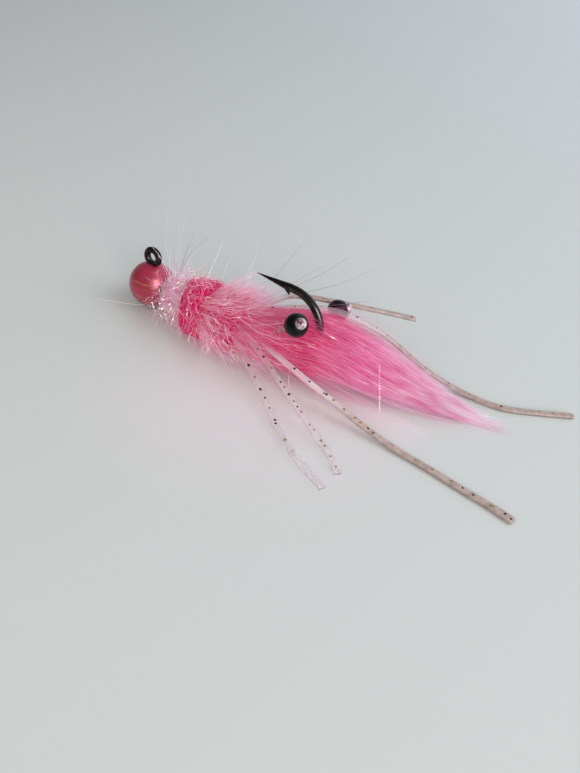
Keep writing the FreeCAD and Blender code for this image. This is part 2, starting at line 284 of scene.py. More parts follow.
def vary(tree, shader, socket, factor, *stops):
    """Drive one of a shader's sockets by a ramp of a factor."""
    tree.links.new(ramp(tree, factor, *stops), shader.inputs[socket])


def grey(value):
    return (value, value, value, 1.0)


def mixed(tree, factor, first, second, how="MIX"):
    """Two colours mixed by a factor."""
    made = node(tree, "Mix", [("Factor", factor)], data_type="RGBA", blend_type=how)
    for socket, value in (("A", first), ("B", second)):
        target = [i for i in made.inputs if i.name == socket and i.type == "RGBA"][0]
        if isinstance(value, bpy.types.NodeSocket):
            tree.links.new(value, target)
        else:
            target.default_value = value
    return [o for o in made.outputs if o.type == "RGBA"][0]


def bump(tree, shader, height, distance_mm, strength=1.0):
    made = node(tree, "Bump", [("Height", height), ("Distance", distance_mm * MM), ("Strength", strength)])
    tree.links.new(made.outputs["Normal"], shader.inputs["Normal"])


def attribute(tree, name):
    return node(tree, "Attribute", attribute_name=name).outputs["Fac"]


def fibre_material(name, root, middle, tip, odd, glow_colour=(255, 40, 145), glow=0.12, roughness=0.5,
                   gloss=0.14):
    """Dyed fibre: colours from root to tip and some strands times an odd colour, with a painted glow:
    emission that stands in for the light scattered through the strands.
    """
    made, tree, shader = material(name, Roughness=roughness, Specular_IOR_Level=gloss,
                                  Emission_Color=rgb(*glow_colour), Emission_Strength=glow)
    colour = ramp(tree, attribute(tree, "along"), (0.4, root), (0.6, middle), (0.82, tip))
    strand = ramp(tree, attribute(tree, "tint"), (0.0, odd), (0.35, grey(1.0)))
    colour = mixed(tree, 1.0, colour, strand, "MULTIPLY")
    streaks = noise(tree, 1.1, 3.0, (0.16, 1, 1))
    patches = ramp(tree, streaks, (0.35, rgb(236, 164, 204)), (0.6, grey(1.0)))
    tree.links.new(mixed(tree, 1.0, colour, patches, "MULTIPLY"), shader.inputs["Base Color"])
    return made


def black_nickel():
    made, tree, shader = material("black_nickel", Metallic=1.0, Coat_Weight=0.35, Coat_Roughness=0.12)
    tone = noise(tree, 0.8, 5.0)
    vary(tree, shader, "Base Color", tone, (0.3, rgb(30, 25, 26)), (0.62, rgb(50, 42, 42)),
         (0.76, rgb(128, 98, 66)))
    vary(tree, shader, "Roughness", noise(tree, 2.5, 4.0), (0.3, grey(0.2)), (0.75, grey(0.42)))
    bump(tree, shader, noise(tree, 9.0, 3.0), 0.02, 0.5)
    return made


def pearl_paint():
    made, tree, shader = material("pearl_paint", Metallic=0.3, IOR=1.5, Coat_Weight=1.0, Coat_Roughness=0.4)
    cloud = noise(tree, 0.35, 4.0)
    colour = ramp(tree, cloud, (0.3, rgb(150, 20, 46)), (0.5, rgb(170, 26, 62)),
                  (0.72, rgb(192, 56, 100)))
    flake = noise(tree, 14.0, kind="TexVoronoi")
    sparkle = ramp(tree, flake, (0.0, rgb(255, 214, 214)), (0.12, rgb(226, 120, 140)),
                   (0.3, grey(0.0)))
    colour = mixed(tree, 0.22, colour, sparkle, "ADD")
    # Thin gold streaks: painted reflections, laid into the paint's colour.
    reflection_streak = noise(tree, 0.9, 2.0, (0.25, 1.0, 5.0), 0.6)
    gold = ramp(tree, reflection_streak, (0.64, grey(0.0)), (0.68, grey(0.7)), (0.72, grey(0.0)))
    colour = mixed(tree, gold, colour, rgb(238, 176, 120))
    tree.links.new(colour, shader.inputs["Base Color"])
    vary(tree, shader, "Roughness", noise(tree, 1.6, 5.0), (0.3, grey(0.26)), (0.7, grey(0.4)))
    bump(tree, shader, flake, 0.006, 0.4)
    return made


def lead():
    made, tree, shader = material("lead", Metallic=1.0)
    vary(tree, shader, "Base Color", noise(tree, 2.0, 6.0), (0.3, grey(0.16)), (0.7, grey(0.3)))
    vary(tree, shader, "Roughness", noise(tree, 5.0), (0.3, grey(0.4)), (0.7, grey(0.7)))
    return made


def thread():
    """White tying thread: fine wraps round the shank."""
    made, tree, shader = material("white_thread", Sheen_Weight=0.3)
    wraps = noise(tree, 8.0, 1.0, (1, 0.05, 0.05))
    vary(tree, shader, "Base Color", wraps, (0.35, rgb(196, 178, 182)), (0.6, rgb(240, 234, 234)))
    vary(tree, shader, "Roughness", noise(tree, 4.0), (0.3, grey(0.45)), (0.7, grey(0.7)))
    bump(tree, shader, wraps, 0.06, 0.8)
    return made


def clear_coat():
    made, tree, shader = material("clear_cement", Base_Color=rgb(244, 238, 232), Transmission_Weight=0.85,
                                  IOR=1.46)
    vary(tree, shader, "Roughness", noise(tree, 3.0), (0.35, grey(0.05)), (0.7, grey(0.2)))
    bump(tree, shader, noise(tree, 1.5, 2.0), 0.05, 0.5)
    return made


def clear_mono(name, clear, scale, seen_through_tint):
    """Monofilament, with the colour of the dressing seen through it painted into its own."""
    made, tree, shader = material(name, Transmission_Weight=clear, IOR=1.5, Coat_Weight=0.5,
                                  Coat_Roughness=0.05)
    vary(tree, shader, "Base Color", noise(tree, scale), (0.38, seen_through_tint), (0.6, rgb(246, 224, 224)))
    vary(tree, shader, "Roughness", noise(tree, 4.0), (0.35, grey(0.08)), (0.7, grey(0.25)))
    bump(tree, shader, noise(tree, 2.6, 3.0), 0.12, 0.7)
    return made


def black_glass():
    made, tree, shader = material("black_glass", Specular_IOR_Level=0.18, Coat_Weight=0.12,
                                  Coat_Roughness=0.03)
    vary(tree, shader, "Base Color", noise(tree, 1.2), (0.4, rgb(4, 4, 5)), (0.7, rgb(10, 11, 16)))
    vary(tree, shader, "Roughness", noise(tree, 5.0, 4.0), (0.4, grey(0.05)), (0.75, grey(0.22)))
    bump(tree, shader, noise(tree, 1.4, 2.0), 0.03, 0.5)
    return made


def silicone(name, look):
    """Speckled silicone strip, clear near the body and milky tan further out, by x along the leg."""
    made, tree, shader = material(name, IOR=1.06 + 0.45 * look.milky, Coat_Weight=0.15, Coat_Roughness=0.3)
    place = node(tree, "TexCoord").outputs["Object"]
    x = node(tree, "SeparateXYZ", [("Vector", place)]).outputs["X"]
    far = node(tree, "MapRange", [("Value", x), ("From Min", look.clear_to_mm * MM),
                                  ("From Max", look.tan_from_mm * MM)]).outputs["Result"]
    mottle = noise(tree, 1.4, 4.0)
    tan = ramp(tree, mottle, (0.3, rgb(168, 146, 136)), (0.55, rgb(192, 172, 164)), (0.8, rgb(206, 190, 184)))
    tree.links.new(mixed(tree, far, rgb(250, 246, 247), tan), shader.inputs["Base Color"])
    clear = node(tree, "MapRange", [("Value", far), ("To Min", 0.95 - look.milky), ("To Max", 0.2)])
    tree.links.new(clear.outputs["Result"], shader.inputs["Transmission Weight"])
    vary(tree, shader, "Roughness", noise(tree, 3.0), (0.3, grey(0.28)), (0.7, grey(0.42)))
    bump(tree, shader, noise(tree, 0.8, 1.0, (0.3, 1, 1)), 0.01, 0.2)
    return made


def fleck_material(name, dark, light):
    made, tree, shader = material(name, Roughness=0.35, Metallic=0.25)
    vary(tree, shader, "Base Color", noise(tree, 6.0), (0.35, dark), (0.65, light))
    return made


def flash(name, base, glint):
    """Pearl flash: thin film that shifts colour along each strand, and an emission that paints sparkle on it.
    """
    made, tree, shader = material(name, Metallic=0.55, IOR=1.6, Roughness=0.16, Thin_Film_Thickness=420.0,
                                  Thin_Film_IOR=1.6, Emission_Color=rgb(255, 244, 214),
                                  Emission_Strength=0.3)
    shift = noise(tree, 1.6, 2.0)
    vary(tree, shader, "Base Color", shift, (0.35, base), (0.55, grey(0.9)), (0.7, glint))
    bump(tree, shader, shift, 0.04, 0.6)
    return made


def finish_cad():
    """The materials of the CAD nodes that nothing here replaces."""
    finishes = {
        black_nickel(): ["hook"],
        pearl_paint(): ["head_paint"],
        lead(): ["head_core"],
        clear_coat(): ["head_cement"],
        thread(): ["thread_base", "thread_collar", "tail_tie", "eye_tie"],
        clear_mono("clear_mono", 0.6, 1.2, rgb(206, 84, 124)): [
            n for n in NODES if n.startswith(("eye_mono", "eye_stalk"))],
        clear_mono("melted_mono", 0.3, 1.5, rgb(104, 58, 66)): ["eye_tip_near", "eye_tip_far"],
        black_glass(): ["eye_bead_near", "eye_bead_far"],
        bpy.data.materials["leg_far_short_silicone"]: ["leg_butts_near", "leg_butts_far"],
    }
    for finish, names in finishes.items():
        for name in names:
            for slot in NODES[name].material_slots:
                slot.material = finish


# ---------------------------------------------------------------- legs

def spline_points(name, route):
    """Points on the smooth line that a route's control points make."""
    curve = bpy.data.curves.new(name + "_route", "CURVE")
    curve.dimensions = "3D"
    curve.resolution_u = 16
    spline = curve.splines.new("NURBS")
    spline.points.add(len(route) - 1)
    for point, place in zip(spline.points, route):
        point.co = (*place, 1.0)
    spline.order_u = 3
    spline.use_endpoint_u = True
    line = bpy.data.objects.new(name + "_route", curve)
    bpy.context.scene.collection.objects.link(line)
    bpy.context.view_layer.update()
    mesh = bpy.data.meshes.new_from_object(line)
    points = np.array([v.co for v in mesh.vertices])
    bpy.data.objects.remove(line)
    bpy.data.curves.remove(curve)
    bpy.data.meshes.remove(mesh)
    return points


def spaced(points, step):
    """The line's points again, evenly spaced."""
    run = np.concatenate([[0], np.cumsum(np.linalg.norm(np.diff(points, axis=0), axis=1))])
    at = np.linspace(0, run[-1], int(run[-1] / step) + 1)
    return np.stack([np.interp(at, run, points[:, i]) for i in range(3)], axis=1), at / run[-1]


class LegLook(NamedTuple):
    """How one leg looks. Flecks are pairs of a share along it and a place across it from -1 to 1."""

    seed: int
    widen: tuple            # times the strip's width, from root to tip
    milky: float            # from 0, clear, upwards
    clear_to_mm: float      # x where the clear part starts to turn tan
    tan_from_mm: float      # x where it is all tan
    black: tuple
    gold: tuple


def make_leg(name, look):
    """A cut strip of silicone: rounded edges, a shallow groove down its faces and a slightly uneven cut."""
    rng = np.random.default_rng(look.seed)
    points, share = spaced(spline_points(name, LEGS[name]), LEG_STEP)
    paths = points[None]
    side, top = frames(paths, (0.0, 0.0, 1.0))
    uneven = waves(rng, 6, 2.2)(paths / MM)[0]
    width = LEG_WIDTH * (through(np.array(look.widen)[:, None], share)[:, 0] + 0.05 * uneven)
    turn = np.linspace(0, TURN, 16, endpoint=False)
    across = np.sign(np.cos(turn)) * np.abs(np.cos(turn)) ** LEG_ROUNDING
    thick = np.sign(np.sin(turn)) * np.abs(np.sin(turn)) ** LEG_ROUNDING
    thick = thick * (1 - LEG_GROOVE * np.sin(turn) ** 8)
    flat = LEG_THICKNESS * (1 + 0.06 * waves(rng, 6, 1.7)(paths / MM)[0])
    rings = (points[:, None]
             + across[:, None] * (width / 2)[:, None, None] * side[0][:, None]
             + thick[:, None] * (flat / 2)[:, None, None] * top[0][:, None])
    leg = tubes(name + "_strip", rings[None])
    leg.data.materials.append(silicone(name + "_silicone", look))
    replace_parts(leg, name)
    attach(leg, name)
    return points, share, side[0], top[0]


def make_flecks(name, line, flecks, finish, kind):
    """Flecks cast into a leg's face: flattened, uneven balls that just break its surface."""
    points, share, side, top = line
    rng = np.random.default_rng(len(flecks) * 7 + len(name))
    corners = 8
    turn = np.linspace(0, TURN, corners, endpoint=False)
    balls = []
    for along, across in flecks:
        i = int(np.argmin(np.abs(share - along)))
        size = LEG_WIDTH * rng.uniform(0.16, 0.25)
        ahead = unit(points[min(i + 1, len(points) - 1)] - points[max(i - 1, 0)])
        middle = points[i] + side[i] * across * LEG_WIDTH * 0.25 + top[i] * LEG_THICKNESS * 0.36
        rings = []
        for angle in np.linspace(0.2, math.pi - 0.2, 5):
            out = math.sin(angle) * size * (1 + 0.2 * rng.normal(size=corners))
            spot = np.cos(turn)[:, None] * side[i] + np.sin(turn)[:, None] * ahead
            rings.append(middle + top[i] * math.cos(angle) * LEG_THICKNESS * 0.2 + spot * out[:, None])
        balls.append(rings)
    piece = tubes(name + "_" + kind, np.array(balls))
    piece.data.materials.append(finish)
    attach(piece, name)


def make_legs():
    black = fleck_material("fleck_black", rgb(14, 12, 16), rgb(46, 38, 40))
    gold = fleck_material("fleck_gold", rgb(126, 104, 62), rgb(176, 150, 96))
    even = (1.0, 1.0)
    looks = {
        "leg_far_short": LegLook(
            11, (1.0, 1.0, 1.05, 1.0, 1.15), 0.2, 15.5, 17.0,
            black=((0.97, 0.0), (0.31, 0.3)),
            gold=((0.52, 0.2), (0.7, -0.3), (0.4, -0.2))),
        "leg_far_long": LegLook(
            12, (1.3, 1.35, 1.2, 1.0, 1.0, 1.0), 0.06, 24.0, 31.0,
            black=((0.06, 0.2), (0.19, -0.3), (0.3, 0.4), (0.63, 0.3), (0.79, 0.4)),
            gold=((0.13, 0.2), (0.36, 0.1), (0.4, -0.2), (0.45, 0.2), (0.49, -0.1), (0.55, 0.2),
                  (0.7, 0.0), (0.9, 0.2), (0.94, -0.3))),
        "leg_near_long": LegLook(
            13, (1.1, 1.0, 1.0, 1.0, 1.25), 0.2, 25.5, 31.5,
            black=((0.25, 0.4), (0.31, 0.0), (0.37, 0.5), (0.53, 0.2), (0.55, -0.4), (0.84, 0.4),
                   (0.88, -0.2), (0.975, 0.5), (0.995, -0.3)),
            gold=((0.36, 0.0), (0.4, 0.4), (0.44, -0.2), (0.48, 0.2), (0.5, 0.0), (0.69, 0.0),
                  (0.75, 0.3), (0.81, 0.3), (0.93, -0.2), (0.94, 0.1))),
        "leg_near_mid": LegLook(
            14, even, 0.03, 60.0, 70.0,
            black=((0.25, 0.3), (0.42, 0.3), (0.5, 0.1), (0.575, -0.2)),
            gold=((0.19, 0.0), (0.33, 0.2), (0.45, 0.4), (0.54, 0.1), (0.61, 0.2), (0.69, -0.2),
                  (0.73, 0.3), (0.79, 0.0), (0.83, 0.3), (0.9, 0.0), (0.965, 0.2))),
        "leg_near_low": LegLook(
            15, even, 0.0, 60.0, 70.0,
            black=((0.2, 0.1), (0.35, 0.0), (0.41, 0.4), (0.55, 0.3), (0.57, -0.2)),
            gold=((0.28, 0.3), (0.47, 0.2), (0.68, 0.0), (0.76, 0.3))),
    }
    for name, look in looks.items():
        line = make_leg(name, look)
        make_flecks(name, line, look.black, black, "black_flecks")
        make_flecks(name, line, look.gold, gold, "gold_flecks")


# ---------------------------------------------------------------- tail

PALE = (255, 214, 232)      # the painted glow colour of undyed and lightly dyed strands


def tail_paths(rng, count, rim, ends, loose, waviness, clumps, steps=10):
    """Craft fur through the tail in millimetres, and each point's share of the tail's length.

    rim is how far out a strand lies, 1 at the tail's outline, and ends how far along the tail it ends. loose
    spreads the tips, waviness is in millimetres, and clumps is how many locks the strands draw towards.
    """
    angle = rng.uniform(0, TURN, count)
    out = np.sqrt(rng.uniform(rim[0] ** 2, rim[1] ** 2, count))
    u, v = out * np.cos(angle), out * np.sin(angle)
    lock_angle = rng.uniform(0, TURN, clumps)
    lock_out = np.sqrt(rng.uniform(rim[0] ** 2, 1, clumps))
    locks = np.stack([lock_out * np.cos(lock_angle), lock_out * np.sin(lock_angle)], axis=1)
    nearest = np.argmin((u[:, None] - locks[:, 0]) ** 2 + (v[:, None] - locks[:, 1]) ** 2, axis=1)
    s = np.linspace(0, 1, steps)
    start = rng.uniform(0, 0.12, (count, 1))
    t = start + (rng.uniform(*ends, (count, 1)) - start) * s
    rows = through(TAIL, t)
    pull = 0.55 * s**1.2
    spread = 1 + loose * rng.normal(size=(count, 1)) * s**3
    across = (u[:, None] * (1 - pull) + locks[nearest, 0][:, None] * pull) * spread
    height = (v[:, None] * (1 - pull) + locks[nearest, 1][:, None] * pull) * spread
    paths = rows[..., :3].copy()
    paths[..., 1] += across * rows[..., 3]
    paths[..., 2] += height * rows[..., 4]
    return wiggle(rng, paths, waviness), t


def on_tail(piece):
    """Bakes the piece's transform into its mesh."""
    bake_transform(piece)


def make_tail():
    rng = np.random.default_rng(21)
    core_reach = 0.74       # of the tail's length
    core_share = 0.8        # of its width and height
    t = np.linspace(0.0, core_reach, 60)
    rows = through(TAIL, t)
    turn = np.linspace(0, TURN, 40, endpoint=False)
    rings = np.repeat(rows[:, None, :3], len(turn), axis=1)
    rings[..., 1] += core_share * np.cos(turn) * rows[:, 3:4]
    rings[..., 2] += core_share * np.sin(turn) * rows[:, 4:5]
    ridges = waves(rng, 14, 0.9)(rings * np.array([0.15, 1, 1]))
    middles = rows[:, None, :3]
    rings = middles + (rings - middles) * (1 + 0.08 * ridges)[..., None]
    rings[..., 2] = np.maximum(rings[..., 2], FLOOR_MM + 0.05)
    core = tubes("tail_underfur", rings[None] * MM)
    # The underfur's emission is a painted glow that lights the fur and the table as light through the strands
    # would.
    made, tree, shader = material("tail_underfur", Roughness=0.6, Specular_IOR_Level=0.2,
                                  Emission_Color=rgb(255, 20, 120), Emission_Strength=0.25)
    streaks = noise(tree, 1.6, 5.0, (0.12, 1, 1))
    vary(tree, shader, "Base Color", streaks, (0.3, rgb(206, 14, 82)), (0.5, rgb(228, 34, 112)),
         (0.7, rgb(240, 78, 148)))
    bump(tree, shader, streaks, 0.25, 1.0)
    core.data.materials.append(made)
    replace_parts(core, "tail_root", "tail_fur")
    on_tail(core)

    # Count, then tail_paths' rim, ends, loose, waviness and clumps, then the strands' radius and finish
    layers = {
        "deep": (2800, (0.7, 0.97), (0.45, 0.82), 0.16, 0.18, 60, 0.03, fibre_material(
            "fur_deep", rgb(204, 2, 80), rgb(218, 84, 146), rgb(220, 196, 208), rgb(250, 214, 226),
            gloss=0.0)),
        "mid": (2700, (0.84, 1.03), (0.45, 0.92), 0.42, 0.34, 130, 0.022, fibre_material(
            "fur_mid", rgb(206, 4, 88), rgb(224, 148, 188), rgb(222, 214, 218), rgb(248, 226, 236))),
        "pale": (220, (0.95, 1.08), (0.45, 1.0), 0.8, 0.6, 220, 0.026, fibre_material(
            "fur_pale", rgb(216, 40, 120), rgb(234, 160, 198), rgb(244, 232, 240), grey(0.95), glow_colour=PALE)),
        "haze": (1100, (1.0, 1.3), (0.45, 1.0), 0.8, 0.7, 400, 0.012, fibre_material(
            "fur_haze", rgb(220, 60, 134), rgb(236, 176, 206), rgb(244, 234, 241), grey(0.95), glow_colour=PALE)),
    }
    for name, (count, rim, ends, loose, waviness, clumps, radius, finish) in layers.items():
        strands, reach = tail_paths(rng, count, rim, ends, loose, waviness, clumps)
        piece = fibres("tail_fur_" + name, rng, strands, radius, reach=reach)
        piece.data.materials.append(finish)
        on_tail(piece)


# ---------------------------------------------------------------- dubbing and collar

# Start, end and radius in millimetres
BODY_COLLAR = (2.2, 6.2, 2.1)
BODY_FRONT = (5.2, 10.2, 3.3)       # the fuzz ball behind the collar
BODY_REAR = (9.9, 15.0, 3.0)        # the second one, over the leg tie


class Mass:
    """A lumpy body of dubbing round the shank, in millimetres.

    slant leans the near side of its front end back, by that much for each millimetre from the middle.
    """

    def __init__(self, seed, start, end, radius, lumpiness, slant=0.0):
        self.start, self.end, self.radius, self.lumpiness = start, end, radius, lumpiness
        self.slant = slant
        self.lumps = waves(np.random.default_rng(seed), 10, 2.6)

    def out(self, x, angle):
        """How far out the surface lies."""
        u = np.clip((2 * x - self.start - self.end) / (self.end - self.start), -1, 1)
        profile = (1 - np.abs(u) ** 3.2) ** 0.42
        places = np.stack([x, self.radius * np.cos(angle), self.radius * np.sin(angle)], axis=-1)
        return self.radius * np.maximum(profile, 0.25) * (1 + self.lumpiness * self.lumps(places))

    def place(self, x, angle, out):
        """The point that far out from the shank's middle."""
        y, z = out * np.cos(angle), SHANK_MM + out * np.sin(angle)
        ahead = np.clip((self.end - x) / (self.end - self.start), 0, 1)
        back = self.slant * ahead * np.maximum(0, -y)
        return np.stack([x + back, y, np.maximum(z, FLOOR_MM + 0.04)], axis=-1)

    def core(self, name, share=0.9):
        x = np.linspace(self.start + 0.1, self.end - 0.1, 40)[:, None]
        angle = np.linspace(0, TURN, 56, endpoint=False)[None]
        x, angle = np.broadcast_arrays(x, angle)
        return tubes(name, self.place(x, angle, share * self.out(x, angle))[None] * MM)

    def wound(self, rng, count, length, lift, depth, spread=1.3, steps=8):
        """Fibres that lie on the body and mostly run back, starting at a depth and lifting at the end."""
        s = np.linspace(0, 1, steps)
        x0 = rng.uniform(self.start + 0.2, self.end - 0.2, (count, 1))
        a0 = rng.uniform(0, TURN, (count, 1))
        heading = rng.normal(0, spread, (count, 1))
        curl = rng.normal(0, 0.7, (count, 1))
        run = rng.uniform(*length, (count, 1))
        x = x0 + run * s * np.cos(heading + curl * s)
        angle = a0 + run * s * np.sin(heading + curl * s) / self.radius
        base = self.out(np.clip(x, self.start, self.end), angle)
        rise = np.abs(rng.normal(0, lift, (count, 1))) * s**1.5
        out = base * rng.uniform(*depth, (count, 1)) + rise
        return wiggle(rng, self.place(x, angle, out), 0.08, 2.0)


def rays(rng, count, x_span, out_span, back, length, spread=0.3, droop=0.0, angles=(0, TURN), steps=7):
    """Fibres bound at the shank that fan outwards and back, in millimetres.

    The spans say where they start, along the shank and out from it. back is how much they run back for each
    part outwards, and angles is the part of the way round the shank that they cover.
    """
    s = np.linspace(0, 1, steps)[None, :, None]
    x = rng.uniform(*x_span, count)
    angle = rng.uniform(*angles, count)
    out = rng.uniform(*out_span, count)
    root = np.stack([x, out * np.cos(angle), SHANK_MM + out * np.sin(angle)], axis=-1)[:, None]
    backward = rng.uniform(*back, count)
    heading = np.stack([backward, np.cos(angle), np.sin(angle)], axis=-1)
    heading = unit(unit(heading) + spread * rng.normal(size=(count, 3)))[:, None]
    run = rng.uniform(*length, (count, 1, 1))
    bend = np.array([0.25, 0.0, -droop]) * run * s**2
    paths = wiggle(rng, root + heading * run * s + bend, 0.12, 1.2)
    paths[..., 2] = np.maximum(paths[..., 2], FLOOR_MM + 0.03)
    return paths


def on_hook(piece, finish):
    piece.data.materials.append(finish)
    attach(piece, HOOK)


def make_dubbing():
    # The emission is a painted glow, standing in for light scattered through the dubbing.
    under, tree, shader = material("dubbing_under", Roughness=0.7, Specular_IOR_Level=0.2,
                                   Emission_Color=rgb(255, 20, 105), Emission_Strength=0.25)
    blotch = noise(tree, 0.9, 6.0)
    vary(tree, shader, "Base Color", blotch, (0.32, rgb(196, 2, 56)), (0.5, rgb(218, 14, 88)),
         (0.68, rgb(236, 60, 142)))
    bump(tree, shader, noise(tree, 2.2, 8.0, roughness=0.7), 0.3, 1.0)
    hot = fibre_material("dubbing_hot", rgb(190, 0, 56), rgb(202, 0, 82), rgb(214, 18, 108),
                         rgb(242, 146, 188), gloss=0.0)
    soft = fibre_material("dubbing_soft", rgb(216, 34, 106), rgb(224, 66, 136), rgb(234, 134, 182),
                          rgb(248, 210, 226))
    pale = fibre_material("dubbing_pale", rgb(232, 130, 172), rgb(240, 192, 212), rgb(246, 234, 240),
                          grey(0.95), glow_colour=PALE, glow=0.1, roughness=0.3)

    front = Mass(31, *BODY_FRONT, lumpiness=0.09, slant=0.3)
    rear = Mass(32, *BODY_REAR, lumpiness=0.11)
    front_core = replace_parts(front.core("dubbing_front_under"), "dubbing_front", "flash_band")
    rear_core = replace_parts(rear.core("dubbing_rear_under"), "dubbing_rear", "leg_tie")
    for core in (front_core, rear_core):
        on_hook(core, under)
    for name, mass, seed in (("dubbing_front", front, 33), ("dubbing_rear", rear, 34)):
        rng = np.random.default_rng(seed)
        layers = (
            ("hot", mass.wound(rng, 4500, (1.5, 4.0), 0.25, (0.88, 1.02), 1.2), 0.018, hot),
            ("soft", mass.wound(rng, 640, (1.8, 4.5), 0.6, (0.96, 1.05)), 0.016, soft),
            # Near-white strands: partly pale fibres, partly a painted highlight for strands that catch the
            # light.
            ("pale", mass.wound(rng, 150, (2.5, 5.5), 0.7, (1.0, 1.07)), 0.022, pale),
            ("halo", rays(rng, 620, (mass.start + 0.6, mass.end - 1), (2.2, 2.8), (0.0, 1.6), (1.0, 3.0),
                          spread=0.4, droop=0.15), 0.011, pale),
        )
        for layer, paths, thickness, finish in layers:
            on_hook(fibres(name + "_" + layer, rng, paths, thickness), finish)
    rng = np.random.default_rng(35)
    haze = rays(rng, 620, (9.5, 14.5), (1.8, 2.6), (0.5, 1.6), (2.5, 5.0), spread=0.25, angles=(0.2, 2.0))
    on_hook(fibres("dubbing_haze", rng, haze, 0.012), pale)


# The two ends of each long hair, in millimetres: root, then tip
LONG_HAIRS = (
    ((3.4, 0.0, -1.8), (0.7, 0.0, 6.9)), ((3.3, 0.2, -1.8), (3.3, 0.0, 7.2)),
    ((3.6, 0.0, -1.7), (5.8, 0.0, 5.8)), ((3.5, -0.2, -1.7), (7.4, 0.0, 4.5)),
    ((3.2, 0.4, -1.8), (2.2, 0.5, 5.2)), ((3.6, 0.3, -1.9), (4.4, 1.0, 3.6)),
    ((3.0, -0.5, -1.9), (1.5, 1.5, 3.2)), ((3.7, -0.6, -1.8), (6.4, -1.0, 2.4)),
    ((3.2, 0.0, -1.8), (0.2, -1.0, 2.2)), ((3.5, 0.5, -2.0), (5.2, 2.5, 4.6)),
    ((3.3, -0.8, -2.0), (2.6, -1.6, 1.6)), ((3.4, 0.6, -2.0), (3.0, 1.8, 5.6)),
    ((12.4, 1.2, -1.2), (11.1, 5.0, 4.3)), ((13.5, 1.5, -1.0), (17.1, 5.0, 6.9)),
    ((12.8, 1.0, -1.0), (12.2, 3.0, 3.2)), ((14.0, 1.6, -1.0), (22.7, 5.0, 7.0)),
    ((14.4, 1.8, -1.2), (22.4, 5.0, 3.8)), ((15.0, 1.5, -1.0), (26.5, 5.0, 3.7)),
    ((14.2, 1.6, -1.0), (26.4, 5.0, 7.2)), ((13.2, 0.8, -0.8), (15.2, 5.0, 3.7)),
    ((9.8, 0.0, -0.6), (9.0, 3.0, 3.4)), ((7.5, 0.5, -0.5), (6.6, 4.0, 2.6)),
    ((11.0, -0.5, -0.8), (13.6, 1.0, 3.0)), ((14.0, 1.0, -1.0), (19.9, 5.0, 5.2)),
)

# A loose hair from the collar over the table, in millimetres
FLOOR_HAIR = ((2.6, 0.4, -5.2), (0.6, -0.4, -6.3), (-1.7, -2.2, -6.33), (-5.0, -4.1, -6.33))


def make_hairs():
    """Long stray hairs of flash and fur that stand up from the collar and the dubbing."""
    rng = np.random.default_rng(51)
    s = np.linspace(0, 1, 9)[None, :, None]
    roots = np.array([root for root, _ in LONG_HAIRS])[:, None]
    tips = np.array([tip for _, tip in LONG_HAIRS])[:, None]
    paths = wiggle(rng, roots + (tips - roots) * s, 0.4, 0.8)
    # The faint emission is a painted glow that keeps the hairs bright.
    finish, tree, shader = material("long_hair", Roughness=0.3, Specular_IOR_Level=0.5,
                                    Emission_Color=rgb(255, 246, 252), Emission_Strength=0.05)
    vary(tree, shader, "Base Color", attribute(tree, "tint"), (0.4, rgb(128, 116, 138)),
         (0.5, rgb(250, 240, 248)))
    on_hook(fibres("long_hairs", rng, paths, 0.018, taper=0.4), finish)
    stray = through(FLOOR_HAIR, np.linspace(0, 1, 24))[None]
    on_hook(fibres("stray_floor_hair", rng, stray, 0.03, taper=0.4), finish)


def make_collar():
    rng = np.random.default_rng(41)
    made, tree, shader = material("collar_under", Roughness=0.4, Specular_IOR_Level=0.4)
    cloud = noise(tree, 1.3, 6.0)
    vary(tree, shader, "Base Color", cloud, (0.35, rgb(214, 160, 170)), (0.65, rgb(240, 220, 224)))
    bump(tree, shader, noise(tree, 3.0, 6.0), 0.2, 1.0)
    white = fibre_material("flash_white", rgb(238, 206, 214), rgb(246, 232, 238), rgb(252, 248, 252),
                           rgb(244, 218, 230), glow_colour=(255, 238, 242), glow=0.07, roughness=0.28)
    tight = Mass(42, *BODY_COLLAR, lumpiness=0.08, slant=0.25)
    on_hook(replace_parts(tight.core("collar_under", share=0.7), "flash_collar"), made)
    wraps = tight.wound(rng, 1500, (1.2, 3.2), 0.45, (0.74, 1.06), 1.6)
    on_hook(fibres("collar_wraps", rng, wraps, 0.022), white)
    spread = rays(rng, 800, (2.3, 5.4), (1.0, 1.9), (-0.5, 0.9), (1.2, 3.8))
    on_hook(fibres("collar_rays", rng, spread, 0.014), white)
    veil = fibre_material("flash_band", rgb(240, 170, 194), rgb(244, 212, 224), rgb(250, 242, 246),
                          rgb(248, 222, 232), glow_colour=PALE, roughness=0.3)
    band = rays(rng, 560, (9.0, 10.8), (2.5, 3.1), (0.7, 2.4), (2.0, 5.0))
    on_hook(fibres("flash_band_fibres", rng, band, 0.023), veil)
    bright = rays(rng, 60, (9.5, 14.0), (2.4, 3.0), (0.2, 2.6), (2.0, 5.5), spread=0.35, angles=(1.4, 4.4))
    on_hook(fibres("flash_strands", rng, bright, 0.034), white)
    edge = rays(rng, 70, (4.0, 6.2), (1.6, 2.6), (0.6, 2.6), (1.6, 3.6), spread=0.35, angles=(1.4, 4.6))
    on_hook(fibres("collar_strands", rng, edge, 0.03), white)
    burst = np.concatenate([
        rays(rng, 70, (12.6, 14.6), (1.8, 2.8), (2.2, 5.0), (2.5, 6.0), spread=0.2),
        rays(rng, 60, (13.0, 14.8), (1.6, 2.4), (2.0, 4.5), (3.0, 7.5), spread=0.2, angles=(2.4, 4.2)),
    ])
    on_hook(fibres("leg_tie_fibres", rng, burst, 0.028), veil)


